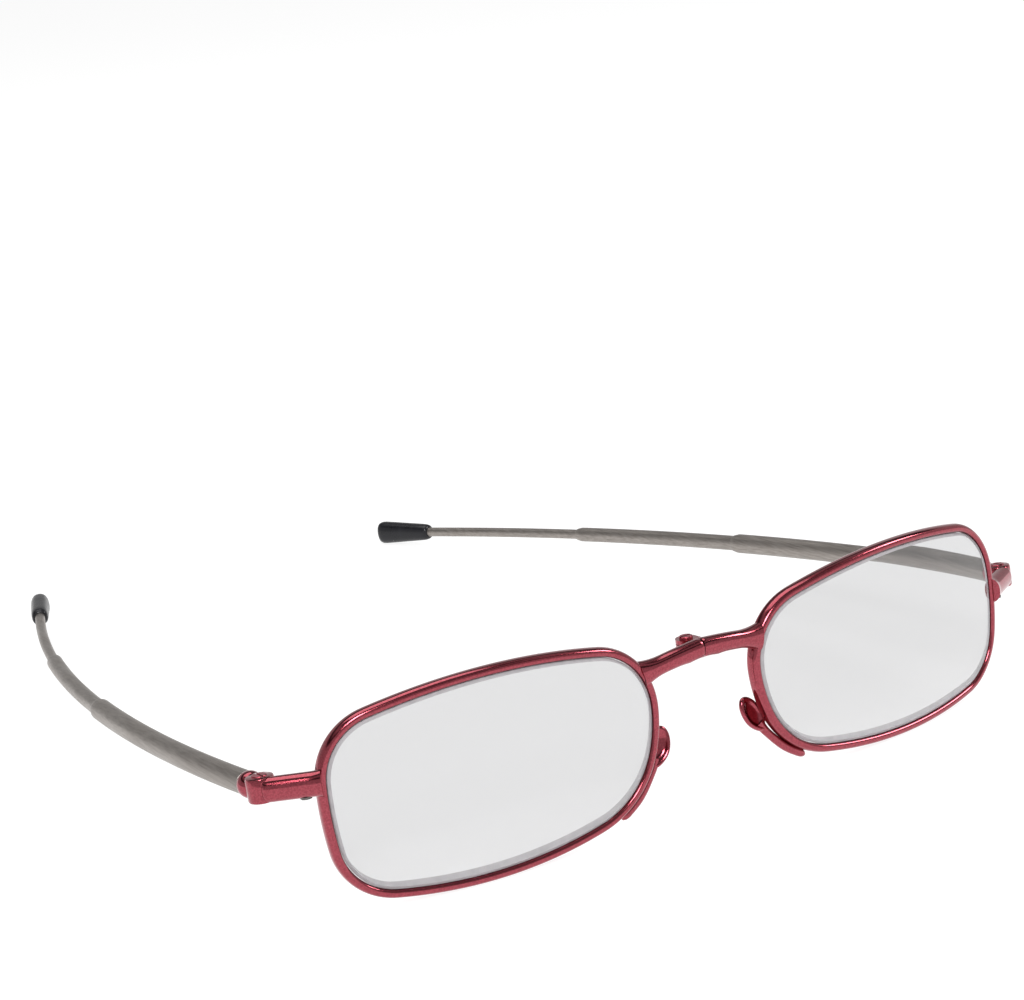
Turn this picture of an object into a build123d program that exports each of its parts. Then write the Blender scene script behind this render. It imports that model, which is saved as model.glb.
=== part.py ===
from build123d import *
import os
from math import cos, degrees, radians, sin

# ---------------------------------------------------------------- front, in the lens frame
LENS_X = 33.4
WRAP = 6.8
BASE_R = 103.3
TOP_TEMPLE = (21.9, 10.0)
TOP_NOSE = (-22.6, 9.6)
LOW_NOSE = (-18.7, -10.2)
LOW_TEMPLE = (20.9, -10.8)
SAG_TOP, SAG_NOSE, SAG_LOW, SAG_TEMPLE = 3.2, 3.1, 2.5, 1.2
R_TOP_TEMPLE, R_TOP_NOSE, R_LOW_NOSE, R_LOW_TEMPLE = 8.0, 9.0, 12.0, 8.0
RIM_WALL = 1.25
RIM_DEPTH = 1.9
RIM_ROUND = 0.5
GROOVE_DEEP, GROOVE_WIDE = 0.5, 0.8
TONGUE_DEEP, TONGUE_WIDE = 0.44, 0.68
LENS_GAP = 0.04
LENS_FRONT = 0.7
LENS_BACK = 1.05
LENS_BACK_R = 150.0

# ---------------------------------------------------------------- bridge hinge
BRIDGE_PIN_Y = 3.0
SEAM = 0.08
BAR_DEEP, BAR_TALL, BAR_ROUND = 2.3, 2.5, 0.9
BAR_ROOT = (9.9, 0.2, 6.75)
BAR_MID = (5.0, -0.15, 7.55)
BAR_SEAM = (SEAM, -0.2, 7.95)
BARREL_R = 1.5
BARREL_LOW, BARREL_TOP = 6.35, 8.75
TONGUE_LOW, TONGUE_TOP = 7.05, 8.05
BARREL_GAP = 0.1
BRIDGE_PIN_R, BRIDGE_HEAD_R, BRIDGE_HEAD = 0.55, 0.95, 0.35

# ---------------------------------------------------------------- temple hinge
HINGE_X, HINGE_Y = 62.3, 9.8
HINGE_Z = {1: 0.6, -1: 4.5}
DROP = 2.6
END_START, END_AIM = (56.15, 4.85), (62.6, 8.9)
END_DEEP, END_TALL, END_ROUND = 2.6, 3.3, 1.1
EAR_R = 1.9
FOLD_ROOM = 1.87
FORK_GAP = 1.5
FORK_CUT_R = 2.1
PIN_R, PIN_HEAD_R, PIN_HEAD, PIN_PROUD = 0.6, 1.05, 0.45, 0.15
TONGUE_R, TONGUE_TALL, TONGUE_WEB = 1.9, 1.3, 2.6
RIM_SCREW_R, RIM_SCREW_HEAD_R, RIM_SCREW_HEAD = 0.5, 0.8, 0.3
RIM_SCREW_LEN = 2.3
RIM_SCREW_SHARE = 0.3
RIM_SCREW_PROUD = 0.1

# ---------------------------------------------------------------- temple, along its arc
ARC_R = 339.0
ARC_OUT = 1.7
BALL_S, BALL_R = 2.9, 1.8
PLUG_R, PLUG_END = 1.40, 7.5
OUTER_START, OUTER_END = 3.7, 61.4
OUTER_R, OUTER_BORE, OUTER_NECK = 1.6, 1.42, 1.30
MIDDLE_START, MIDDLE_END = 53.4, 99.2
MIDDLE_R, MIDDLE_BORE, MIDDLE_NECK = 1.25, 1.05, 0.90
ROD_START, ROD_END = 92.4, 140.4
ROD_R = 0.85
NECK_LEN = 3.0
SWAGE = 1.0
SWAGE_TAPER = 12.0
COLLAR_LEN, COLLAR_GAP = 1.6, 0.04
TIP_START, TIP_END = 135.6, 147.6
TIP_TALL_FRONT, TIP_WIDE_FRONT = 2.9, 2.8
TIP_TALL_BACK, TIP_WIDE_BACK = 4.2, 3.2
TIP_TALL_MID, TIP_WIDE_MID = 3.4, 3.0
TIP_ROUND = 0.7

# ---------------------------------------------------------------- fits and slots
SNUG, FREE = 0.02, 0.04
EAR_GAP = 0.05
REACH = 9
OPENING_EXTRA = 0.1
SCREW_SLOT_WIDE, SCREW_SLOT_DEEP = 0.3, 0.2
SCREW_ROUND = 0.15

# ---------------------------------------------------------------- nose pads
PAD_TALL, PAD_WIDE, PAD_THICK = 5.8, 3.4, 0.8
PAD_CENTRE = (8.0, 1.1, -4.15)
PAD_AXIS = (0.427, -0.164, -0.89)
PAD_SPLAY = 18.0
PAD_LIP, PAD_DISH, PAD_ROUND = 0.55, 0.25, 0.3
ARM_WIDE, ARM_THICK, ARM_ROUND = 1.3, 1.0, 0.4
ARM_FOOT = (8.8, 0.85, -5.5)
ARM_KNEE = (9.9, 0.6, -7.2)
ARM_LOW = (12.4, 0.3, -9.9)
ARM_TAIL = (15.6, 0.25, -12.0)

# ---------------------------------------------------------------- standing on a table
LEAN = 2.395
FLOOR_DROP = 14.318
FRONT_Y = -76.10
SIDES = {1: "right", -1: "left"}


def stand():
    """Placement of the lens frame on the table: rims and tips touch z = 0."""
    return Pos(0, FRONT_Y, FLOOR_DROP) * Rot(-LEAN, 0, 0)


def lens_plane(side):
    w = radians(WRAP)
    return Plane(
        origin=(side * LENS_X, 0, 0),
        x_dir=(side * cos(w), sin(w), 0),
        z_dir=(sin(w), -side * cos(w), 0),
    )


def base_centre(side, radius, vertex=0.0):
    """Centre of a lens sphere whose surface crosses the lens axis at depth vertex."""
    w = radians(WRAP)
    reach = radius + vertex
    return (side * (LENS_X - reach * sin(w)), reach * cos(w), 0)


def eye_region(side, grow, length):
    """Straight prism of the eye shape, grown outward by grow."""
    corners = [TOP_TEMPLE, TOP_NOSE, LOW_NOSE, LOW_TEMPLE]
    sags = [SAG_TOP, SAG_NOSE, SAG_LOW, SAG_TEMPLE]
    radii = [R_TOP_TEMPLE, R_TOP_NOSE, R_LOW_NOSE, R_LOW_TEMPLE]
    with BuildPart() as prism:
        with BuildSketch(lens_plane(side)) as shape:
            with BuildLine():
                for i in range(4):
                    SagittaArc(corners[i], corners[(i + 1) % 4], -sags[i])
            make_face()
            for corner, radius in zip(corners, radii):
                point = shape.vertices().sort_by_distance(corner)[0]
                fillet(point, radius)
            if grow:
                offset(amount=grow)
        extrude(amount=length, both=True)
    return prism.part


def eye_shell(side, grow, deep):
    """The eye region between two spheres that share the base curve centre."""
    body = eye_region(side, grow, REACH)
    with BuildPart() as shell:
        add(body)
        with Locations(base_centre(side, BASE_R)):
            Sphere(BASE_R + deep / 2, mode=Mode.INTERSECT)
            Sphere(BASE_R - deep / 2, mode=Mode.SUBTRACT)
    return shell.part


def make_rim(side):
    outer = eye_shell(side, RIM_WALL, RIM_DEPTH)
    opening = eye_region(side, 0, REACH)
    groove = eye_shell(side, GROOVE_DEEP, GROOVE_WIDE)
    with BuildPart() as rim:
        add(outer)
        add(opening, mode=Mode.SUBTRACT)
        fillet(rim.edges().filter_by(GeomType.LINE, reverse=True), RIM_ROUND)
        add(groove, mode=Mode.SUBTRACT)
    return rim.part


def make_lens(side):
    body = eye_region(side, -LENS_GAP, REACH)
    tongue = eye_shell(side, TONGUE_DEEP, TONGUE_WIDE)
    with BuildPart() as lens:
        add(body)
        with Locations(base_centre(side, BASE_R)):
            Sphere(BASE_R + LENS_FRONT, mode=Mode.INTERSECT)
        with Locations(base_centre(side, LENS_BACK_R, LENS_BACK)):
            Sphere(LENS_BACK_R, mode=Mode.SUBTRACT)
        add(tongue)
    return lens.part


def end_line(side):
    """Straight run of the endpiece, from the rim out and back past the hinge pin."""
    z = HINGE_Z[side]
    start = Vector(side * END_START[0], END_START[1], z)
    return start, Vector(side * END_AIM[0], END_AIM[1], z) - start


def hinge_plane(side):
    """Origin on the hinge pin, x along the open temple, y toward -X, z along the pin."""
    d = radians(DROP)
    return Plane(
        origin=(side * HINGE_X, HINGE_Y, HINGE_Z[side]),
        x_dir=(0, cos(d), -sin(d)),
        z_dir=(0, sin(d), cos(d)),
    )


def fold_pocket(side):
    """Room that the folded temple needs on the inner side of the endpiece, round the ears."""
    pin = hinge_plane(side)
    with BuildPart() as pocket:
        with BuildSketch(pin.offset(-END_TALL)):
            with Locations((END_TALL - FOLD_ROOM, side * END_TALL)):
                Rectangle(2 * END_TALL, 2 * END_TALL)
            Circle(EAR_R + EAR_GAP, mode=Mode.SUBTRACT)
        extrude(amount=2 * END_TALL)
    return pocket.part


def make_endpiece(side, rim):
    start, run = end_line(side)
    opening = eye_region(side, GROOVE_DEEP + OPENING_EXTRA, REACH)
    pin = hinge_plane(side)
    with BuildPart() as endpiece:
        with BuildSketch(Plane(start, x_dir=(0, 0, 1), z_dir=run)):
            RectangleRounded(END_TALL, END_DEEP, END_ROUND)
        extrude(amount=run.length)
        add(fold_pocket(side), mode=Mode.SUBTRACT)
        with BuildSketch(pin.offset(-END_TALL / 2)):
            Circle(EAR_R)
        extrude(amount=END_TALL)
        with BuildSketch(pin.offset(-FORK_GAP / 2)):
            Circle(FORK_CUT_R)
        extrude(amount=FORK_GAP, mode=Mode.SUBTRACT)
        with BuildSketch(pin.offset(-END_TALL)):
            Circle(PIN_R + SNUG)
        extrude(amount=2 * END_TALL, mode=Mode.SUBTRACT)
        with BuildSketch(pin.offset(END_TALL / 2 + PIN_PROUD - PIN_HEAD - SNUG)):
            Circle(PIN_HEAD_R + SNUG)
        extrude(amount=END_TALL, mode=Mode.SUBTRACT)
        with BuildSketch(rim_screw_plane(side)):
            Circle(RIM_SCREW_R + SNUG)
        extrude(amount=RIM_SCREW_LEN + FREE, mode=Mode.SUBTRACT)
        with BuildSketch(rim_screw_plane(side).offset(RIM_SCREW_HEAD)):
            Circle(RIM_SCREW_HEAD_R + SNUG)
        extrude(amount=-END_TALL / 2, mode=Mode.SUBTRACT)
        add(rim, mode=Mode.SUBTRACT)
        add(opening, mode=Mode.SUBTRACT)
    return endpiece.part


def rim_screw_plane(side):
    """Underside of the endpiece near the rim, z pointing up."""
    start, run = end_line(side)
    place = start + run * RIM_SCREW_SHARE - Vector(0, 0, END_TALL / 2 + RIM_SCREW_PROUD)
    return Plane(origin=place, z_dir=(0, 0, 1))


def make_rim_screw(side):
    with BuildPart() as screw:
        with BuildSketch(rim_screw_plane(side)):
            Circle(RIM_SCREW_R)
        extrude(amount=RIM_SCREW_LEN)
        with BuildSketch(rim_screw_plane(side)):
            Circle(RIM_SCREW_HEAD_R)
        extrude(amount=RIM_SCREW_HEAD)
        with BuildSketch(rim_screw_plane(side)):
            Rectangle(3 * RIM_SCREW_HEAD_R, SCREW_SLOT_WIDE)
        extrude(amount=SCREW_SLOT_DEEP, mode=Mode.SUBTRACT)
    return screw.part


def make_hinge_screw(side):
    pin = hinge_plane(side)
    top = END_TALL / 2 + PIN_PROUD
    with BuildPart() as screw:
        with BuildSketch(pin.offset(-END_TALL / 2)):
            Circle(PIN_R)
        extrude(amount=END_TALL)
        with BuildSketch(pin.offset(top - PIN_HEAD)):
            Circle(PIN_HEAD_R)
        extrude(amount=PIN_HEAD)
        fillet(screw.edges().group_by(Axis(pin.origin, pin.z_dir))[-1], SCREW_ROUND)
        with BuildSketch(pin.offset(top)):
            Rectangle(3 * PIN_HEAD_R, SCREW_SLOT_WIDE)
        extrude(amount=-SCREW_SLOT_DEEP, mode=Mode.SUBTRACT)
    return screw.part


def arc_axis(side):
    """Axis through the centre of the temple arc, parallel to the hinge pin."""
    a = radians(ARC_OUT)
    plane = hinge_plane(side)
    centre = plane.from_local_coords((ARC_R * sin(a), side * ARC_R * cos(a), 0))
    return Axis(centre, side * plane.z_dir)


def section_plane(side, s):
    """Cross-section plane of the temple at arc length s from the pin."""
    a = radians(ARC_OUT)
    turn = s / ARC_R
    x = ARC_R * (sin(a) - sin(a - turn))
    y = ARC_R * (cos(a) - cos(a - turn))
    plane = hinge_plane(side)
    origin = plane.from_local_coords((x, side * y, 0))
    ahead = plane.from_local_coords((x + cos(a - turn), side * (y - sin(a - turn)), 0))
    return Plane(origin=origin, x_dir=plane.z_dir, z_dir=ahead - origin)


def rear_edge(builder, side, s):
    """The closed edge loop nearest the temple station s."""
    loops = builder.edges().filter_by(lambda edge: edge.is_closed)
    return loops.sort_by_distance(section_plane(side, s).origin)[0]


def arc_degrees(start, end):
    return degrees((end - start) / ARC_R)


def make_knuckle(side):
    pin = hinge_plane(side)
    with BuildPart() as knuckle:
        with BuildSketch(pin.offset(-TONGUE_TALL / 2)):
            Circle(TONGUE_R)
            with Locations((BALL_S / 2, 0)):
                Rectangle(BALL_S, TONGUE_WEB)
        extrude(amount=TONGUE_TALL)
        with Locations(section_plane(side, BALL_S).location):
            Sphere(BALL_R)
        with BuildSketch(section_plane(side, BALL_S)):
            Circle(PLUG_R)
        revolve(axis=arc_axis(side), revolution_arc=arc_degrees(BALL_S, PLUG_END))
        with BuildSketch(pin.offset(-TONGUE_TALL)):
            Circle(PIN_R + FREE)
        extrude(amount=2 * TONGUE_TALL, mode=Mode.SUBTRACT)
        for up in (1, -1):
            with BuildSketch(pin.offset(up * TONGUE_TALL / 2)):
                Circle(FORK_CUT_R - EAR_GAP)
            extrude(amount=up * END_TALL, mode=Mode.SUBTRACT)
    return knuckle.part


def make_tube(side, start, end, radius, bore, neck):
    """Curved tube swaged in at its rear end, where its bore narrows to the neck."""
    with BuildPart() as tube:
        with BuildSketch(section_plane(side, start)):
            Circle(radius)
        revolve(axis=arc_axis(side), revolution_arc=arc_degrees(start, end - SWAGE))
        with BuildSketch(section_plane(side, end - SWAGE)):
            Circle(radius)
        extrude(amount=SWAGE, taper=SWAGE_TAPER)
        with BuildSketch(section_plane(side, start)):
            Circle(bore)
        revolve(
            axis=arc_axis(side),
            revolution_arc=arc_degrees(start, end - NECK_LEN),
            mode=Mode.SUBTRACT,
        )
        with BuildSketch(section_plane(side, end - NECK_LEN)):
            Circle(neck)
        extrude(amount=NECK_LEN + SWAGE, mode=Mode.SUBTRACT)
        if start < BALL_S + BALL_R:
            with Locations(section_plane(side, BALL_S).location):
                Sphere(BALL_R + SNUG, mode=Mode.SUBTRACT)
    return tube.part


def make_collar(side, start, inner, outer):
    """Stop ring on the hidden end of a telescoping member."""
    with BuildPart() as collar:
        with BuildSketch(section_plane(side, start)):
            Circle(outer)
            Circle(inner, mode=Mode.SUBTRACT)
        revolve(axis=arc_axis(side), revolution_arc=arc_degrees(start, start + COLLAR_LEN))
    return collar.part


def make_rod(side):
    with BuildPart() as rod:
        with BuildSketch(section_plane(side, ROD_START)):
            Circle(ROD_R)
        revolve(axis=arc_axis(side), revolution_arc=arc_degrees(ROD_START, ROD_END))
    return rod.part


def make_tip(side):
    with BuildPart() as tip:
        with BuildSketch(section_plane(side, TIP_START)):
            Ellipse(TIP_TALL_FRONT / 2, TIP_WIDE_FRONT / 2)
        with BuildSketch(section_plane(side, (TIP_START + TIP_END) / 2)):
            Ellipse(TIP_TALL_MID / 2, TIP_WIDE_MID / 2)
        with BuildSketch(section_plane(side, TIP_END)):
            Ellipse(TIP_TALL_BACK / 2, TIP_WIDE_BACK / 2)
        loft()
        fillet(rear_edge(tip, side, TIP_END), TIP_ROUND)
        with BuildSketch(section_plane(side, TIP_START)):
            Circle(ROD_R + SNUG)
        revolve(
            axis=arc_axis(side),
            revolution_arc=arc_degrees(TIP_START, ROD_END + 0.1),
            mode=Mode.SUBTRACT,
        )
    return tip.part


def make_bridge_half(side, rim):
    """Right half carries the fork, left half carries the tongue."""
    opening = eye_region(side, GROOVE_DEEP + OPENING_EXTRA, REACH)
    root, mid, seam = ((side * x, y, z) for x, y, z in (BAR_ROOT, BAR_MID, BAR_SEAM))
    if side == 1:
        levels = [(BARREL_LOW, TONGUE_LOW - BARREL_GAP), (TONGUE_TOP + BARREL_GAP, BARREL_TOP)]
    else:
        levels = [(TONGUE_LOW, TONGUE_TOP)]
    with BuildPart() as half:
        with BuildLine() as run:
            ThreePointArc(seam, mid, root)
        with BuildSketch(Plane(seam, x_dir=(0, 1, 0), z_dir=(side, 0, 0))):
            RectangleRounded(BAR_DEEP, BAR_TALL, BAR_ROUND)
        sweep(path=run.wire())
        for low, top in levels:
            with BuildSketch(Plane((0, BRIDGE_PIN_Y, low))):
                Circle(BARREL_R)
                with Locations((side * (SEAM + BARREL_R) / 2, -BRIDGE_PIN_Y / 2)):
                    Rectangle(BARREL_R - SEAM, BRIDGE_PIN_Y)
            extrude(amount=top - low)
        bore = BRIDGE_PIN_R + (SNUG if side == 1 else FREE)
        with BuildSketch(Plane((0, BRIDGE_PIN_Y, BARREL_LOW))):
            Circle(bore)
        extrude(amount=BARREL_TOP - BARREL_LOW, mode=Mode.SUBTRACT)
        add(rim, mode=Mode.SUBTRACT)
        add(opening, mode=Mode.SUBTRACT)
    return half.part


def make_bridge_pin():
    with BuildPart() as pin:
        with BuildSketch(Plane((0, BRIDGE_PIN_Y, BARREL_LOW))):
            Circle(BRIDGE_PIN_R)
        extrude(amount=BARREL_TOP - BARREL_LOW)
        with BuildSketch(Plane((0, BRIDGE_PIN_Y, BARREL_TOP))):
            Circle(BRIDGE_HEAD_R)
        extrude(amount=BRIDGE_HEAD)
        fillet(pin.edges().group_by(Axis.Z)[-1], SCREW_ROUND)
        with BuildSketch(Plane((0, BRIDGE_PIN_Y, BARREL_TOP + BRIDGE_HEAD))):
            Rectangle(3 * BRIDGE_HEAD_R, SCREW_SLOT_WIDE)
        extrude(amount=-SCREW_SLOT_DEEP, mode=Mode.SUBTRACT)
    return pin.part


def make_pad(side, rim):
    """Spoon-shaped leaf on an arm that follows the lower inner corner of the right rim."""
    opening = eye_region(1, GROOVE_DEEP + OPENING_EXTRA, REACH)
    along = Vector(*PAD_AXIS).normalized()
    splay = radians(PAD_SPLAY)
    toward_skin = Vector(-sin(splay), cos(splay), 0)
    normal = toward_skin - along * toward_skin.dot(along)
    face = Plane(origin=PAD_CENTRE, x_dir=normal.cross(along), z_dir=normal)
    with BuildPart() as pad:
        with BuildSketch(face):
            Ellipse(PAD_WIDE / 2, PAD_TALL / 2)
        extrude(amount=PAD_THICK / 2, both=True)
        fillet(pad.edges(), PAD_ROUND)
        with BuildSketch(face.offset(-PAD_THICK / 2)):
            Ellipse(PAD_WIDE / 2 - PAD_LIP, PAD_TALL / 2 - PAD_LIP)
        extrude(amount=PAD_DISH, mode=Mode.SUBTRACT)
        with BuildLine() as run:
            Spline(ARM_FOOT, ARM_KNEE, ARM_LOW, ARM_TAIL)
        path = run.wire()
        with BuildSketch(Plane(path @ 0, x_dir=(1, 0, 0), z_dir=path % 0)):
            RectangleRounded(ARM_WIDE, ARM_THICK, ARM_ROUND)
        sweep(path=path)
        add(rim, mode=Mode.SUBTRACT)
        add(opening, mode=Mode.SUBTRACT)
    return pad.part if side == 1 else pad.part.mirror(Plane.YZ)


def save(part, name):
    part.label = name
    part.move(stand())
    export_step(part, f"parts/{name}.step")


os.makedirs("parts", exist_ok=True)
right_rim = make_rim(1)
for side, word in SIDES.items():
    rim = make_rim(side)
    pieces = {
        "lens": make_lens(side),
        "endpiece": make_endpiece(side, rim),
        "rim_screw": make_rim_screw(side),
        "hinge_screw": make_hinge_screw(side),
        "temple_knuckle": make_knuckle(side),
        "outer_tube": make_tube(side, OUTER_START, OUTER_END, OUTER_R, OUTER_BORE, OUTER_NECK),
        "middle_tube": make_tube(side, MIDDLE_START, MIDDLE_END, MIDDLE_R, MIDDLE_BORE, MIDDLE_NECK),
        "middle_collar": make_collar(side, MIDDLE_START, MIDDLE_R + SNUG / 2, OUTER_BORE - COLLAR_GAP),
        "inner_rod": make_rod(side),
        "rod_collar": make_collar(side, ROD_START, ROD_R + SNUG / 2, MIDDLE_BORE - COLLAR_GAP),
        "temple_tip": make_tip(side),
        "bridge_half": make_bridge_half(side, rim),
        "nose_pad": make_pad(side, right_rim),
    }
    pieces["rim"] = rim
    for name, piece in pieces.items():
        save(piece, f"{word}_{name}")
save(make_bridge_pin(), "bridge_pin")
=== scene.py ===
from math import atan2, cos, hypot, pi, radians, sin, sqrt

import bmesh
import bpy
from mathutils import Matrix, Vector


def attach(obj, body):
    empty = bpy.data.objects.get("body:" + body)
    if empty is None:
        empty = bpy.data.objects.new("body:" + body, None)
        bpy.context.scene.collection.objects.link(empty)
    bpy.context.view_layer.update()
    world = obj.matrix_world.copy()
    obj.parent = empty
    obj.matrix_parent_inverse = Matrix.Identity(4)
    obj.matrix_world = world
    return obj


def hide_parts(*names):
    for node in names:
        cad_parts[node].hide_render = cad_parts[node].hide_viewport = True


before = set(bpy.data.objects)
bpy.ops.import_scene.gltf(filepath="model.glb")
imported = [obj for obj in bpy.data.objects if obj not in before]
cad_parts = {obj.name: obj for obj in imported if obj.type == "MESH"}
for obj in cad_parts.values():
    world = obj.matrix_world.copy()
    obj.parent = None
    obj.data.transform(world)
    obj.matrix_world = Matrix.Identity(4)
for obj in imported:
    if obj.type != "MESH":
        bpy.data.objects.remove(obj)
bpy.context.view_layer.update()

MM = 0.001

# ---------------------------------------------------------------- driving dimensions, mm, lens frame
# Origin midway between the lens centres, x across, y back along the temples, z up; angles in degrees.
LENS_X, WRAP, BASE_R = 33.4, 6.8, 103.3
CORNERS = [(21.9, 10.0), (-22.6, 9.6), (-18.7, -10.2), (20.9, -10.8)]
SAGS = [3.2, 3.1, 2.5, 1.2]
CORNER_RADII = [8.0, 9.0, 12.0, 8.0]
RIM_WALL, RIM_DEPTH = 1.25, 1.9
LENS_GAP, LENS_FRONT, LENS_BACK, LENS_BACK_R = 0.04, 0.7, 1.05, 150.0
LENS_BEVEL, LENS_LOW_BEVEL, LENS_RINGS = 0.38, 0.6, 16
BRIDGE_PIN_Y = 3.0
SEAM = 0.08
BAR_ROOT, BAR_MID, BAR_END = (9.9, 0.2, 6.75), (5.0, -0.15, 7.55), (SEAM, -0.2, 7.95)
BARREL_R, BARREL_LOW, BARREL_TOP = 1.5, 6.35, 8.75
TONGUE_LOW, TONGUE_TOP, BARREL_GAP = 7.05, 8.05, 0.1
HINGE_X, HINGE_Y, HINGE_Z = 62.3, 9.8, {1: 0.6, -1: 4.5}
END_START, END_AIM = (56.15, 4.85), (62.6, 8.9)
END_DEEP, END_TALL, END_DOME, END_FLARE = 2.6, 3.3, 0.5, 0.16
EAR_R, EAR_CUT_R, TONGUE_R, TONGUE_TALL, SLOT_TALL, SLOT_R = 1.9, 2.05, 1.0, 1.3, 1.5, 1.1
FOLD_ROOM, POCKET_R = 1.87, 1.95
CUT_BACK, CUT_IN = 4, 6
ARC_R, ARC_OUT, DROP = 339.0, 1.7, 2.6
BALL_S, BALL_R = 2.9, 1.8
OUTER_START, OUTER_END, OUTER_R, OUTER_BORE, OUTER_NECK = 3.7, 61.4, 1.6, 1.42, 1.30
MIDDLE_START, MIDDLE_END, MIDDLE_R, MIDDLE_BORE, MIDDLE_NECK = 53.4, 99.2, 1.25, 1.05, 0.90
ROD_START, ROD_END, ROD_R = 92.4, 140.4, 0.85
SWAGE, SWAGE_IN = 1.0, 0.21
TIP_START = 135.6
PAD_CENTRE, PAD_AXIS, PAD_SPLAY = (8.0, 1.1, -4.15), (0.427, -0.164, -0.89), 18.0
PAD_WIDE, PAD_TALL = 3.4, 5.8
ARM_PATH = [(8.8, 0.85, -5.5), (9.9, 0.6, -7.2), (12.4, 0.3, -9.9), (15.6, 0.25, -12.0)]
FRONT_Y, FLOOR_DROP, LEAN = -76.10, 14.318, 2.395
SIDES = {1: "right", -1: "left"}
FLOOR_HALF = 8.0

STAND = Matrix.Translation((0, FRONT_Y, FLOOR_DROP)) @ Matrix.Rotation(-radians(LEAN), 4, "X")


# ---------------------------------------------------------------- materials
def new_material(name):
    mat = bpy.data.materials.new(name)
    mat.use_nodes = True
    return mat, mat.node_tree.nodes, mat.node_tree.links, mat.node_tree.nodes["Principled BSDF"]


def noise(nodes, links, scale, stretch=(1, 1, 1), **values):
    """Noise texture in object space, in metres."""
    coord = nodes.new("ShaderNodeTexCoord")
    mapping = nodes.new("ShaderNodeMapping")
    mapping.inputs["Scale"].default_value = stretch
    tex = nodes.new("ShaderNodeTexNoise")
    tex.inputs["Scale"].default_value = scale
    for key, value in values.items():
        tex.inputs[key].default_value = value
    links.new(coord.outputs["Object"], mapping.inputs["Vector"])
    links.new(mapping.outputs["Vector"], tex.inputs["Vector"])
    return tex


def ramp(nodes, links, source, stops):
    node = nodes.new("ShaderNodeValToRGB")
    elements = node.color_ramp.elements
    while len(elements) < len(stops):
        elements.new(0.5)
    for element, (position, colour) in zip(elements, stops):
        element.position = position
        element.color = (*colour, 1) if isinstance(colour, tuple) else (colour, colour, colour, 1)
    links.new(source, node.inputs["Fac"])
    return node


def graded(nodes, links, shader, socket, texture, stops):
    """Sets a shader socket from a texture through a ramp."""
    links.new(ramp(nodes, links, texture.outputs["Fac"], stops).outputs["Color"], shader.inputs[socket])


def bumped(nodes, links, shader, height, strength, distance):
    bump = nodes.new("ShaderNodeBump")
    bump.inputs["Strength"].default_value = strength
    bump.inputs["Distance"].default_value = distance
    links.new(height, bump.inputs["Height"])
    links.new(bump.outputs["Normal"], shader.inputs["Normal"])


def red_lacquer():
    """Rose-red lacquer over bright metal, with fine flecks and a faint flow in the coat."""
    mat, nodes, links, shader = new_material("red_lacquer")
    flow = noise(nodes, links, 260, Detail=2.0)
    fleck = noise(nodes, links, 4500, Detail=3.0)
    graded(nodes, links, shader, "Base Color", fleck,
           [(0.36, (0.265, 0.036, 0.052)), (0.64, (0.375, 0.062, 0.084))])
    graded(nodes, links, shader, "Roughness", flow, [(0.2, 0.11), (0.8, 0.18)])
    shader.inputs["Metallic"].default_value = 1.0
    shader.inputs["Coat Weight"].default_value = 0.5
    shader.inputs["Coat Roughness"].default_value = 0.05
    bumped(nodes, links, shader, fleck.outputs["Fac"], 0.15, 0.00002)
    return mat


def satin_tube():
    """Steel tube brushed along its length, with faint handling marks."""
    mat, nodes, links, shader = new_material("satin_tube")
    grain = noise(nodes, links, 1, (3200, 110, 3200), Detail=4.0, Roughness=0.6)
    patch = noise(nodes, links, 1, (260, 90, 260), Detail=3.0)
    graded(nodes, links, shader, "Base Color", grain,
           [(0.25, (0.235, 0.212, 0.195)), (0.75, (0.405, 0.37, 0.342))])
    graded(nodes, links, shader, "Roughness", patch, [(0.3, 0.36), (0.7, 0.5)])
    shader.inputs["Metallic"].default_value = 1.0
    bumped(nodes, links, shader, grain.outputs["Fac"], 0.25, 0.00003)
    return mat


def black_tip():
    mat, nodes, links, shader = new_material("black_tip")
    mottle = noise(nodes, links, 500, Detail=3.0)
    graded(nodes, links, shader, "Roughness", mottle, [(0.3, 0.24), (0.7, 0.34)])
    graded(nodes, links, shader, "Base Color", mottle,
           [(0.2, (0.006, 0.006, 0.008)), (0.8, (0.012, 0.012, 0.016))])
    shader.inputs["Specular IOR Level"].default_value = 0.35
    bumped(nodes, links, shader, mottle.outputs["Fac"], 0.05, 0.00003)
    return mat


def screw_metal(name, low, high):
    mat, nodes, links, shader = new_material(name)
    turned = noise(nodes, links, 1800, Detail=2.0)
    graded(nodes, links, shader, "Base Color", turned, [(0.3, low), (0.7, high)])
    graded(nodes, links, shader, "Roughness", turned, [(0.3, 0.22), (0.7, 0.35)])
    shader.inputs["Metallic"].default_value = 1.0
    return mat


def clear_glass(name, tint, roughness=0.0):
    """Refracting lens material whose shadow rays pass, so that the floor behind it stays bright."""
    mat, nodes, links, shader = new_material(name)
    smear = noise(nodes, links, 60, Detail=2.0)
    graded(nodes, links, shader, "Roughness", smear, [(0.45, roughness), (0.75, roughness + 0.012)])
    shader.inputs["Base Color"].default_value = (*tint, 1)
    shader.inputs["IOR"].default_value = 1.5
    shader.inputs["Transmission Weight"].default_value = 1.0
    light_path = nodes.new("ShaderNodeLightPath")
    through = nodes.new("ShaderNodeBsdfTransparent")
    through.inputs["Color"].default_value = (0.93, 0.93, 0.93, 1)
    mix = nodes.new("ShaderNodeMixShader")
    links.new(light_path.outputs["Is Shadow Ray"], mix.inputs["Fac"])
    links.new(shader.outputs["BSDF"], mix.inputs[1])
    links.new(through.outputs["BSDF"], mix.inputs[2])
    links.new(mix.outputs["Shader"], nodes["Material Output"].inputs["Surface"])
    return mat


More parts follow.
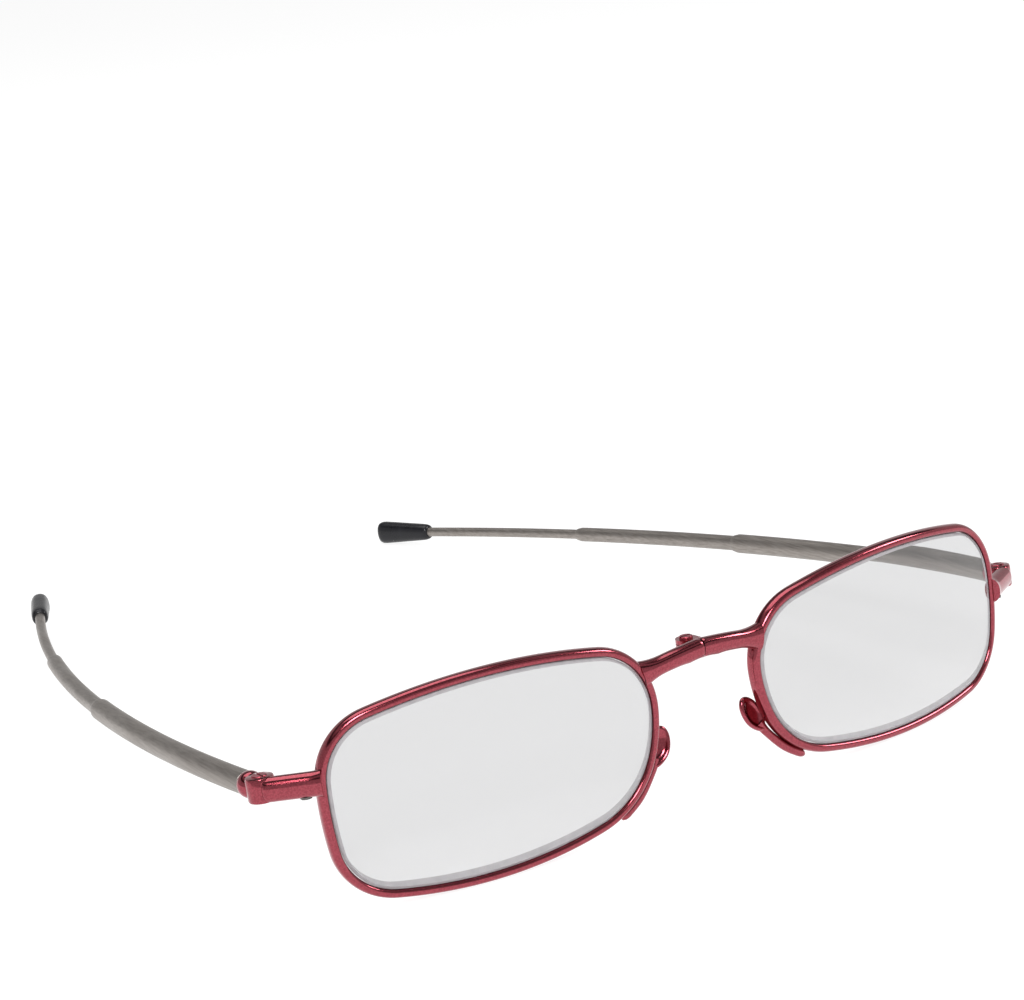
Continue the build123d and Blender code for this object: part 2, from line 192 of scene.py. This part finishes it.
def ground_edge():
    """Ground edge of the lens, a matt pale grey."""
    mat, nodes, links, shader = new_material("lens_edge")
    grit = noise(nodes, links, 900, Detail=2.0)
    graded(nodes, links, shader, "Base Color", grit, [(0.3, (0.34, 0.325, 0.34)), (0.7, (0.43, 0.41, 0.425))])
    graded(nodes, links, shader, "Roughness", grit, [(0.3, 0.45), (0.7, 0.6)])
    shader.inputs["Transmission Weight"].default_value = 0.35
    return mat


RED = red_lacquer()
TUBE = satin_tube()
BLACK = black_tip()
RED_SCREW = screw_metal("red_screw", (0.34, 0.05, 0.075), (0.48, 0.10, 0.13))
DARK_SCREW = screw_metal("dark_screw", (0.10, 0.09, 0.09), (0.20, 0.18, 0.17))
COLLAR = screw_metal("stop_collar", (0.50, 0.36, 0.16), (0.62, 0.47, 0.22))
LENS = clear_glass("clear_lens", (0.665, 0.665, 0.67))
LENS_EDGE = ground_edge()


# ---------------------------------------------------------------- mesh helpers
def mesh_object(name, verts, faces, mats=(), face_mats=None):
    """An object from lens-frame points in mm, put in the row frame."""
    mesh = bpy.data.meshes.new(name)
    mesh.from_pydata([(STAND @ Vector(v)) * MM for v in verts], [], faces)
    for mat in mats:
        mesh.materials.append(mat)
    if face_mats:
        mesh.polygons.foreach_set("material_index", face_mats)
    bm = bmesh.new()
    bm.from_mesh(mesh)
    bmesh.ops.remove_doubles(bm, verts=bm.verts, dist=1e-8)
    bmesh.ops.recalc_face_normals(bm, faces=bm.faces)
    bm.to_mesh(mesh)
    bm.free()
    piece = bpy.data.objects.new(name, mesh)
    bpy.context.scene.collection.objects.link(piece)
    return piece


def carve(piece, solids, operation="DIFFERENCE"):
    """Cuts solids, given as (verts, faces), out of a piece, or joins them to it."""
    tools = [mesh_object("tool", *solid) for solid in solids]
    for tool in tools:
        change = piece.modifiers.new("carve", "BOOLEAN")
        change.object = tool
        change.operation = operation
        change.solver = "EXACT"
    evaluated = piece.evaluated_get(bpy.context.evaluated_depsgraph_get())
    mesh = bpy.data.meshes.new_from_object(evaluated)
    piece.modifiers.clear()
    piece.data = mesh
    for tool in tools:
        bpy.data.objects.remove(tool)


def finish_piece(piece, body, replaces, sharp=38):
    piece.data.shade_smooth()
    piece.data.set_sharp_from_angle(angle=radians(sharp))
    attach(piece, body)
    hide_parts(replaces)


def make_piece(name, verts, faces, mats, body, slot, replaces, sharp=38, face_mats=None):
    piece = mesh_object(name, verts, faces, mats, face_mats)
    finish_piece(piece, body, replaces, sharp)


def loft(rings, closed_path=False, caps=True):
    """Faces between rings of equal count, each ring a closed loop; flat fans close the ends."""
    verts = [p for ring in rings for p in ring]
    n, m = len(rings), len(rings[0])
    faces = []
    for i in range(n if closed_path else n - 1):
        a, b = i * m, ((i + 1) % n) * m
        for j in range(m):
            k = (j + 1) % m
            faces.append((a + j, a + k, b + k, b + j))
    if caps and not closed_path:
        faces.append(tuple(range(m)))
        faces.append(tuple((n - 1) * m + j for j in range(m)))
    return verts, faces


def oval(half_a, half_b, power=2.0, count=36):
    """Points of a superellipse; power 2 is an ellipse and more is squarer."""
    points = []
    for i in range(count):
        c, s = cos(2 * pi * i / count), sin(2 * pi * i / count)
        a = half_a * abs(c) ** (2 / power) * (1 if c >= 0 else -1)
        b = half_b * abs(s) ** (2 / power) * (1 if s >= 0 else -1)
        points.append((a, b))
    return points


def placed(section, origin, across, up):
    return [origin + across * a + up * b for a, b in section]


# ---------------------------------------------------------------- eye shape
def side_circle(a, b, sag):
    (ax, ay), (bx, by) = a, b
    chord = hypot(bx - ax, by - ay)
    radius = (chord * chord / 4 + sag * sag) / (2 * sag)
    tx, ty = (bx - ax) / chord, (by - ay) / chord
    return (ax + bx) / 2 - ty * (radius - sag), (ay + by) / 2 + tx * (radius - sag), radius


def corner_centre(first, second, radius, near):
    """Centre of the round that touches two side circles from inside."""
    x1, y1, r1 = first
    x2, y2, r2 = second
    a, b = r1 - radius, r2 - radius
    d = hypot(x2 - x1, y2 - y1)
    along = (a * a - b * b + d * d) / (2 * d)
    off = sqrt(max(a * a - along * along, 0))
    ex, ey = (x2 - x1) / d, (y2 - y1) / d
    options = [(x1 + ex * along - s * ey * off, y1 + ey * along + s * ex * off) for s in (1, -1)]
    return min(options, key=lambda c: hypot(c[0] - near[0], c[1] - near[1]))


def eye_outline(step=0.45):
    """The eye opening as (u, v, outward u, outward v), from four side arcs and four corner arcs."""
    circles = [side_circle(CORNERS[i], CORNERS[(i + 1) % 4], SAGS[i]) for i in range(4)]
    rounds = [corner_centre(circles[i - 1], circles[i], CORNER_RADII[i], CORNERS[i]) for i in range(4)]
    arcs = []
    for i in range(4):
        centre, nxt = rounds[i], rounds[(i + 1) % 4]
        before, side = circles[i - 1], circles[i]
        start = atan2(centre[1] - before[1], centre[0] - before[0])
        end = atan2(centre[1] - side[1], centre[0] - side[0])
        arcs.append((centre, CORNER_RADII[i], start, end))
        arcs.append((side[:2], side[2], end, atan2(nxt[1] - side[1], nxt[0] - side[0])))
    points = []
    for (cx, cy), radius, start, end in arcs:
        sweep = (end - start) % (2 * pi)
        count = max(6, int(sweep * radius / step))
        for i in range(count):
            t = start + sweep * i / count
            points.append((cx + radius * cos(t), cy + radius * sin(t), cos(t), sin(t)))
    return points


def eye_point(side, u, v, back):
    """A lens-plane point with its distance behind the plane, in the lens frame."""
    w = radians(WRAP)
    return Vector((side * (LENS_X + u * cos(w) - back * sin(w)), u * sin(w) + back * cos(w), v))


def sphere_back(u, v, radius, vertex=0.0):
    return vertex + radius - sqrt(radius * radius - u * u - v * v)


EYE = eye_outline()


# ---------------------------------------------------------------- front
def build_rim(side):
    """Oval wire that follows the eye opening and the curve of the front."""
    half_wall, half_deep = RIM_WALL / 2, RIM_DEPTH / 2
    section = oval(half_wall, half_deep, 2.5, 40)
    rings = []
    for u, v, nu, nv in EYE:
        ring = []
        for a, b in section:
            grow = half_wall + a
            x, y = u + nu * grow, v + nv * grow
            ring.append(eye_point(side, x, y, sphere_back(x, y, BASE_R) + b))
        rings.append(ring)
    verts, faces = loft(rings, closed_path=True)
    word = SIDES[side]
    make_piece(f"{word}_rim_wire", verts, faces, [RED], f"{word}_front", "red_lacquer", f"{word}_rim", 60)


def build_lens(side):
    """Meniscus lens with a frosted bevelled edge, wider at the bottom, that fills the eye opening."""
    shares = [1.0 - i / LENS_RINGS for i in range(LENS_RINGS)]
    verts, faces, marks = [], [], []
    n = len(EYE)

    def ring(share, inset, surface, low=0.0):
        start = len(verts)
        for u, v, nu, nv in EYE:
            reach = inset + low * max(0.0, -nv)
            x, y = share * (u - nu * reach), share * (v - nv * reach)
            verts.append(eye_point(side, x, y, surface(x, y)))
        return start

    def front(x, y):
        return sphere_back(x, y, BASE_R + LENS_FRONT, -LENS_FRONT)

    def back(x, y):
        return sphere_back(x, y, LENS_BACK_R, LENS_BACK)

    def join(a, b, mark):
        for j in range(n):
            k = (j + 1) % n
            faces.append((a + j, a + k, b + k, b + j))
            marks.append(mark)

    fronts = [ring(s, LENS_GAP + LENS_BEVEL, front) for s in shares]
    edge_front = ring(1.0, LENS_GAP, lambda x, y: front(x, y) + 0.22)
    edge_back = ring(1.0, LENS_GAP, lambda x, y: back(x, y) - 0.45)
    backs = [ring(s, LENS_GAP + LENS_BEVEL, back, LENS_LOW_BEVEL) for s in shares]
    for a, b in zip(fronts, fronts[1:]):
        join(a, b, 0)
    for a, b in zip(backs, backs[1:]):
        join(a, b, 0)
    join(fronts[0], edge_front, 1)
    join(edge_front, edge_back, 1)
    join(edge_back, backs[0], 1)
    for last, surface in ((fronts[-1], front), (backs[-1], back)):
        centre = len(verts)
        verts.append(eye_point(side, 0, 0, surface(0, 0)))
        for j in range(n):
            faces.append((last + j, last + (j + 1) % n, centre))
            marks.append(0)
    word = SIDES[side]
    make_piece(f"{word}_meniscus", verts, faces, [LENS, LENS_EDGE], f"{word}_front", "clear_lens",
               f"{word}_lens", 20, marks)


def pin_point(side, along, across, up):
    """A point by its distances from the hinge pin: back along the temple, outward and up the pin."""
    ahead, rise = hinge_axes()
    return Vector((side * (HINGE_X + across), HINGE_Y, HINGE_Z[side])) + ahead * along + rise * up


def pin_prism(side, outline, low, top):
    """Prism along the hinge pin from (along, across) corners."""
    rings = [[pin_point(side, u, v, z) for u, v in outline] for z in (low, top)]
    return loft(rings)


def pin_round(radius, count=64):
    return [(radius * cos(2 * pi * i / count), radius * sin(2 * pi * i / count)) for i in range(count)]


def pin_disc(side, profile):
    """Turned shape about the hinge pin from (radius, height) points."""
    rings = [[pin_point(side, u, v, z) for u, v in pin_round(radius)] for radius, z in profile]
    return loft(rings)


def build_endpiece(side):
    """Straight rounded bar to the hinge, closed outside and slotted from its inner side for the tongue."""
    z = HINGE_Z[side]
    up = Vector((0, 0, 1))
    half_deep, half_tall, power = END_DEEP / 2, END_TALL / 2, 2.2
    start = Vector((side * END_START[0], END_START[1], z))
    run = Vector((side * END_AIM[0], END_AIM[1], z)) - start
    along = run.normalized()
    across = along.cross(up)
    straight = run.length - END_DOME
    rings = []
    for i in range(25):
        flare = END_FLARE * max(0.0, 1 - i / 5) ** 2
        ring = oval(half_deep + flare, half_tall + flare, power, 48)
        rings.append(placed(ring, start + along * (straight * i / 24), across, up))
    for reach, inset in ((0.18, 0.04), (0.34, 0.14), (0.45, 0.3), (END_DOME, 0.5)):
        ring = oval(half_deep - inset, half_tall - inset, power, 48)
        rings.append(placed(ring, start + along * (straight + reach), across, up))
    word = SIDES[side]
    bar = mesh_object(f"{word}_endpiece_bar", *loft(rings), [RED])
    pocket = [(-FOLD_ROOM, -CUT_IN), (CUT_BACK, -CUT_IN), (CUT_BACK, 0)]
    pocket += [(POCKET_R * cos(t), -POCKET_R * sin(t)) for t in (i * pi / 24 for i in range(22))]
    carve(bar, [pin_prism(side, pocket, -END_TALL, END_TALL)])
    ear = [(0.02, -half_tall), (EAR_R - 0.3, -half_tall)]
    ear += [(EAR_R - 0.1, 0.08 - half_tall), (EAR_R, 0.3 - half_tall)]
    carve(bar, [pin_disc(side, ear + [(r, -h) for r, h in reversed(ear)])], "UNION")
    corner = [(-SLOT_R * sin(t), SLOT_R * cos(t)) for t in (i * pi / 16 for i in range(9))]
    slot = [(CUT_BACK, -CUT_IN), (CUT_BACK, SLOT_R)] + corner + [(-SLOT_R, -CUT_IN)]
    carve(bar, [pin_prism(side, slot, -SLOT_TALL / 2, SLOT_TALL / 2)])
    finish_piece(bar, f"{word}_front", f"{word}_endpiece", 40)


# ---------------------------------------------------------------- temples
def hinge_axes():
    """Directions of the open temple, and of its hinge pin."""
    d = radians(DROP)
    return Vector((0, cos(d), -sin(d))), Vector((0, sin(d), cos(d)))


def temple_frame(side, s):
    """Origin, direction, outward and up at arc length s from the pin."""
    a = radians(ARC_OUT)
    turn = s / ARC_R
    x = ARC_R * (sin(a) - sin(a - turn))
    y = ARC_R * (cos(a) - cos(a - turn))
    ahead, up = hinge_axes()
    inward = Vector((-side, 0, 0))
    origin = Vector((side * HINGE_X, HINGE_Y, HINGE_Z[side])) + ahead * x + inward * y
    along = ahead * cos(a - turn) - inward * sin(a - turn)
    return origin, along, up.cross(along), up


def tube_rings(side, profile, count=40):
    """Rings along the temple arc from (arc length, radius) pairs."""
    rings = []
    for s, radius in profile:
        origin, _, across, up = temple_frame(side, s)
        rings.append(placed(oval(radius, radius, 2.0, count), origin, across, up))
    return rings


def spread(start, end, count):
    return [start + (end - start) * i / count for i in range(count + 1)]


def tube_profile(start, end, radius, bore, neck):
    """Hollow tube: straight wall, rounded swage, the turned-in lip at the rear and the bore."""
    body = [(s, radius) for s in spread(start, end - SWAGE - 0.15, 40)]
    swage = [(end - SWAGE, radius - 0.01), (end - 0.5 * SWAGE, radius - 0.55 * SWAGE_IN),
             (end - 0.08, radius - SWAGE_IN), (end, radius - SWAGE_IN - 0.06)]
    inside = [(s, bore) for s in spread(end - 1.6, start + 0.7, 30)]
    return body + swage + [(end, neck + 0.02), (end - 0.05, neck), (end - 1.5, neck)] + inside


def build_tube(side, part, start, end, radius, bore, neck):
    rings = tube_rings(side, [(start, radius - 0.15), (start + 0.12, radius)]
                       + tube_profile(start + 0.3, end, radius, bore, neck))
    verts, faces = loft(rings, caps=False)
    faces.append(tuple(range(40)))
    faces.append(tuple((len(rings) - 1) * 40 + j for j in range(40)))
    word = SIDES[side]
    make_piece(f"{word}_{part}_tube_shell", verts, faces, [TUBE], f"{word}_temple_{part}", "satin_tube",
               f"{word}_{part}_tube", 30)


def build_rod(side):
    rings = tube_rings(side, [(s, ROD_R) for s in spread(ROD_START, ROD_END, 36)], 32)
    verts, faces = loft(rings)
    word = SIDES[side]
    make_piece(f"{word}_rod_wire", verts, faces, [TUBE], f"{word}_temple_inner", "satin_tube",
               f"{word}_inner_rod", 30)


def build_tip(side):
    """Moulded tip: a round neck that flares to a taller, flat-sided end."""
    shape = [(0.0, 0.92, 0.92), (0.10, 1.16, 1.14), (0.35, 1.34, 1.30), (0.9, 1.48, 1.41), (2.4, 1.60, 1.47),
             (5.0, 1.75, 1.52), (8.0, 1.94, 1.57), (10.4, 2.08, 1.60), (11.1, 2.06, 1.56), (11.6, 1.90, 1.38),
             (11.85, 1.66, 1.12), (11.97, 1.30, 0.75), (12.0, 0.9, 0.4)]
    rings = []
    for step, tall, wide in shape:
        origin, _, across, up = temple_frame(side, TIP_START + step)
        rings.append(placed(oval(wide, tall, 2.3, 40), origin, across, up))
    verts, faces = loft(rings)
    word = SIDES[side]
    make_piece(f"{word}_tip_sleeve", verts, faces, [BLACK], f"{word}_temple_inner", "black_tip",
               f"{word}_temple_tip", 50)


def build_knuckle(side):
    """Ball hollowed in front to clear the ears, with the flat tongue that turns on the pin."""
    origin, along, across, up = temple_frame(side, BALL_S)
    rings = []
    for i in range(1, 40):
        t = pi * i / 40
        ring = oval(sin(t) * BALL_R, sin(t) * BALL_R, 2.0, 56)
        rings.append(placed(ring, origin - along * (cos(t) * BALL_R), across, up))
    word = SIDES[side]
    ball = mesh_object(f"{word}_knuckle_ball", *loft(rings), [RED])
    carve(ball, [pin_prism(side, pin_round(EAR_CUT_R), -3, 3)])
    finish_piece(ball, f"{word}_temple_outer", f"{word}_temple_knuckle", 35)
    outline = [(TONGUE_R * cos(t), TONGUE_R * sin(t)) for t in (pi / 2 + pi * i / 24 for i in range(25))]
    outline += [(BALL_S, -TONGUE_R), (BALL_S, TONGUE_R)]
    verts, faces = pin_prism(side, outline, -TONGUE_TALL / 2, TONGUE_TALL / 2)
    make_piece(f"{word}_knuckle_tongue", verts, faces, [RED], f"{word}_temple_outer", "red_lacquer",
               f"{word}_temple_knuckle", 30)


# ---------------------------------------------------------------- bridge and pads
def arc_point(t):
    """Curve through the bar's seam end, middle and root, t from 0 at the seam to 1 at the root."""
    a, b, c = Vector(BAR_END), Vector(BAR_MID), Vector(BAR_ROOT)
    return a * (2 * t - 1) * (t - 1) + b * 4 * t * (1 - t) + c * t * (2 * t - 1)


def barrel(side, low, top):
    """Round of the bridge hinge about its pin, and the web that joins it to the bar."""
    web = [(SEAM, BRIDGE_PIN_Y), (BARREL_R, BRIDGE_PIN_Y), (BARREL_R, 0.2), (SEAM, 0.2)]
    disc = loft([[Vector((x, BRIDGE_PIN_Y + y, z)) for x, y in pin_round(BARREL_R, 48)] for z in (low, top)])
    block = loft([[Vector((side * x, y, z)) for x, y in web] for z in (low, top)])
    return disc, block


def build_bridge_half(side):
    """Arched bar that flares into the rim, with its share of the hinge barrel behind the seam."""
    up = Vector((0, 0, 1))
    rings = []
    for i in range(41):
        t = i / 40
        p, q = arc_point(t), arc_point(t + 0.01)
        along = (q - p).normalized()
        across = up.cross(along).normalized()
        lift = along.cross(across)
        end = 0.93 if i == 0 else 1.0
        flare = max(0.0, t - 0.62) / 0.38
        tall = (1.24 + 0.10 * (1 - t) ** 2 + 0.75 * flare ** 2.2) * end
        deep = (1.15 + 0.12 * flare) * end
        belly = 1 + 0.10 * max(0.0, 1 - abs(t - 0.24) / 0.2) ** 2
        ring = [(a, b * belly if b < 0 else b) for a, b in oval(deep, tall, 2.35, 48)]
        origin = p + along * (0.06 if i == 1 else 0)
        rings.append([Vector((side * v.x, v.y, v.z)) for v in placed(ring, origin, across, lift)])
    word = SIDES[side]
    make_piece(f"{word}_bridge_bar", *loft(rings), [RED], f"{word}_front", "red_lacquer",
               f"{word}_bridge_half", 50)
    if side > 0:
        levels = [(BARREL_LOW, TONGUE_LOW - BARREL_GAP), (TONGUE_TOP + BARREL_GAP, BARREL_TOP)]
    else:
        levels = [(TONGUE_LOW, TONGUE_TOP)]
    for i, (low, top) in enumerate(levels):
        disc, block = barrel(side, low, top)
        piece = mesh_object(f"{word}_barrel_{i}", *disc, [RED])
        carve(piece, [block], "UNION")
        finish_piece(piece, f"{word}_front", f"{word}_bridge_half", 30)


def through(points, steps):
    """Smooth run of points through the given ones."""
    ends = [points[0] * 2 - points[1], *points, points[-1] * 2 - points[-2]]
    run = []
    for p0, p1, p2, p3 in zip(ends, ends[1:], ends[2:], ends[3:]):
        for i in range(steps):
            t = i / steps
            run.append(0.5 * (2 * p1 + (p2 - p0) * t + (2 * p0 - 5 * p1 + 4 * p2 - p3) * t * t
                              + (3 * p1 - p0 - 3 * p2 + p3) * t ** 3))
    return run + [points[-1]]


def build_pad(side):
    """Spoon-shaped leaf with a rolled lip, on an arm that follows the rim's lower inner corner."""
    along = Vector(PAD_AXIS).normalized()
    splay = radians(PAD_SPLAY)
    skin = Vector((-sin(splay), cos(splay), 0))
    normal = (skin - along * skin.dot(along)).normalized()
    across = normal.cross(along)
    profile = [(0.02, -0.06), (0.3, -0.07), (0.5, -0.11), (0.62, -0.2), (0.72, -0.33), (0.81, -0.42),
               (0.89, -0.43), (0.955, -0.35), (0.99, -0.2), (1.0, -0.02), (0.985, 0.14), (0.93, 0.27),
               (0.82, 0.34), (0.6, 0.38), (0.3, 0.4), (0.02, 0.4)]
    rings = []
    for share, height in profile:
        ring = []
        for i in range(64):
            c, s = cos(2 * pi * i / 64), sin(2 * pi * i / 64)
            narrow = 1 - 0.35 * max(0.0, s) ** 2
            u, v = PAD_WIDE / 2 * c * share * narrow, PAD_TALL / 2 * s * share
            ring.append(Vector(PAD_CENTRE) + across * u + along * v + normal * (height - 0.1 * share * share))
        rings.append(ring)
    mirror = Matrix.Diagonal((side, 1, 1)).to_3x3()
    word = SIDES[side]
    leaf = [[mirror @ p for p in ring] for ring in rings]
    make_piece(f"{word}_pad_leaf", *loft(leaf), [RED], f"{word}_front", "red_lacquer", f"{word}_nose_pad", 60)
    path = through([Vector(p) for p in ARM_PATH], 10)
    rings = []
    count = len(path)
    for i, p in enumerate(path):
        heading = (path[min(i + 1, count - 1)] - path[max(i - 1, 0)]).normalized()
        side_way = heading.cross(Vector((0, 1, 0))).normalized()
        back = side_way.cross(heading)
        from_end = (count - 1 - i) / 3
        size = sqrt(max(0.06, 1 - (1 - from_end) ** 2)) if from_end < 1 else 1.0
        root = 0.15 * max(0.0, 1 - i / 10)
        rings.append(placed(oval((0.6 + root) * size, 0.52 * size, 2.2, 28), p, side_way, back))
    arm = [[mirror @ p for p in ring] for ring in rings]
    make_piece(f"{word}_pad_arm", *loft(arm), [RED], f"{word}_front", "red_lacquer", f"{word}_nose_pad", 60)


for side in SIDES:
    build_rim(side)
    build_lens(side)
    build_endpiece(side)
    build_knuckle(side)
    build_tube(side, "outer", OUTER_START, OUTER_END, OUTER_R, OUTER_BORE, OUTER_NECK)
    build_tube(side, "middle", MIDDLE_START, MIDDLE_END, MIDDLE_R, MIDDLE_BORE, MIDDLE_NECK)
    build_rod(side)
    build_tip(side)
    build_bridge_half(side)
    build_pad(side)

CAD_FINISH = {"rim_screw": DARK_SCREW, "hinge_screw": RED_SCREW, "middle_collar": COLLAR,
              "rod_collar": COLLAR, "bridge_pin": RED_SCREW}
for name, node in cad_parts.items():
    for part, mat in CAD_FINISH.items():
        if name.endswith(part):
            node.data.materials.clear()
            node.data.materials.append(mat)


# ---------------------------------------------------------------- stage
def build_floor():
    mesh = bpy.data.meshes.new("floor")
    corners = [(x * FLOOR_HALF, y * FLOOR_HALF, 0) for x, y in ((-1, -1), (1, -1), (1, 1), (-1, 1))]
    mesh.from_pydata(corners, [], [(0, 1, 2, 3)])
    mat, nodes, links, shader = new_material("pale_floor")
    shader.inputs["Base Color"].default_value = (0.25, 0.25, 0.25, 1)
    shader.inputs["Roughness"].default_value = 0.9
    shader.inputs["Specular IOR Level"].default_value = 0.0
    shader.inputs["Emission Color"].default_value = (1, 1, 1, 1)
    shader.inputs["Emission Strength"].default_value = 0.87
    mesh.materials.append(mat)
    floor = bpy.data.objects.new("floor", mesh)
    bpy.context.scene.collection.objects.link(floor)


def area_light(name, place, target, size, power, size_y=None):
    light = bpy.data.lights.new(name, "AREA")
    light.energy = power
    light.shape = "RECTANGLE"
    light.size = size
    light.size_y = size_y or size
    lamp = bpy.data.objects.new(name, light)
    lamp.location = place
    lamp.rotation_euler = (Vector(target) - Vector(place)).to_track_quat("-Z", "Y").to_euler()
    bpy.context.scene.collection.objects.link(lamp)


def build_world():
    """Sky for the lacquer to mirror: dark at the horizon, with a bright band above."""
    world = bpy.data.worlds.new("studio")
    bpy.context.scene.world = world
    world.use_nodes = True
    nodes, links = world.node_tree.nodes, world.node_tree.links
    coord = nodes.new("ShaderNodeTexCoord")
    split = nodes.new("ShaderNodeSeparateXYZ")
    links.new(coord.outputs["Generated"], split.inputs["Vector"])
    bands = [(0.0, 0.6), (0.47, 0.5), (0.5, 0.05), (0.6, 0.03),
             (0.7, 0.3), (0.78, 0.5), (0.88, 0.08), (1.0, 0.3)]
    shade = ramp(nodes, links, split.outputs["Z"], bands)
    links.new(shade.outputs["Color"], nodes["Background"].inputs["Color"])
    nodes["Background"].inputs["Strength"].default_value = 1.0


def build_camera():
    az, el, roll = radians(-30.958), radians(15.103), radians(-6.529)
    dist, focal_px, width_px = 0.3723, 2571.8, 1024
    target = Vector((-0.00354, -0.03726, 0.03721))
    back = Vector((sin(az) * cos(el), -cos(az) * cos(el), sin(el)))
    level = Vector((cos(az), sin(az), 0))
    rise = back.cross(level)
    right = level * cos(roll) + rise * sin(roll)
    up = rise * cos(roll) - level * sin(roll)
    camera = bpy.data.cameras.new("camera")
    camera.sensor_width = 36
    camera.lens = focal_px * 36 / width_px
    camera.clip_start = 0.01
    camera.clip_end = 50
    eye = bpy.data.objects.new("camera", camera)
    rotation = Matrix((right, up, back)).transposed().to_4x4()
    eye.matrix_world = Matrix.Translation(target + back * dist) @ rotation
    bpy.context.scene.collection.objects.link(eye)
    bpy.context.scene.camera = eye


build_floor()
build_world()
area_light("key", (-0.5, -0.9, 0.9), (0, 0, 0.02), 0.4, 9)
area_light("fill", (0.9, -0.4, 0.7), (0, 0, 0.02), 0.3, 4)
area_light("top", (0.0, 0.3, 1.2), (0, 0, 0), 1.0, 6)
build_camera()
bpy.context.scene.view_settings.view_transform = "Standard"
